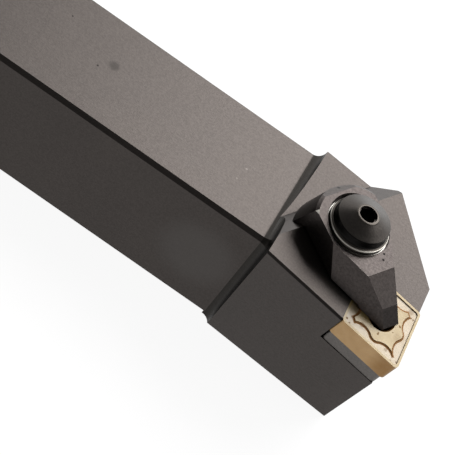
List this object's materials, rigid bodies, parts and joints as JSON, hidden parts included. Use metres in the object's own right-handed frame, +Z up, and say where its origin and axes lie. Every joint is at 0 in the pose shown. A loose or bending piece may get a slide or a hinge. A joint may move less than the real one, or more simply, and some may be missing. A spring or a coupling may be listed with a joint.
{
  "type": "turning tool holder",
  "caption": "Left-hand external turning tool holder with a square shank, a top clamp on a vertical screw and a rhombic indexable insert on a shim",
  "frame": {"origin": "middle of the shank's base face", "axes": "+X along the shank towards the cutting head, +Y the back of the tool away from the cut, +Z up; millimetres in the source, metres in the row"},
  "size_m": [0.1499, 0.0319, 0.0378],
  "materials": {
    "holder_steel": "fine ground, black nickel tone",
    "clamp_steel": "satin, black oxide tone",
    "screw_steel": "turned, black oxide",
    "washer_steel": "plain",
    "spring_steel": "plain drawn wire",
    "shim_carbide": "ground sintered carbide",
    "coated_carbide": "satin gold titanium nitride coating"
  },
  "bodies": {
    "tool": {"holder": "holder_steel", "shim": "shim_carbide", "shim_screw": "screw_steel", "insert": "coated_carbide", "clamp_spring": "spring_steel"},
    "top_clamp": {"clamp": "clamp_steel", "clamp_washer": "washer_steel"},
    "top_screw": {"clamp_screw": "screw_steel"}
  },
  "joints": [
    {"name": "clamp_lift", "type": "slide", "parent": "tool", "child": "top_clamp", "axis": [0, 0, 1], "range_m": [0, 0.004], "deforming": ["clamp_spring"]},
    {"name": "screw_turn", "type": "hinge", "parent": "top_clamp", "child": "top_screw", "pos_m": [0.07062, -0.00516, 0.0376], "axis": [0, 0, 1], "range_deg": [0, 1440]}
  ],
  "couplings": [
    {"joint": "screw_turn", "follows": "clamp_lift", "rad_per_m": 6283.2}
  ]
}
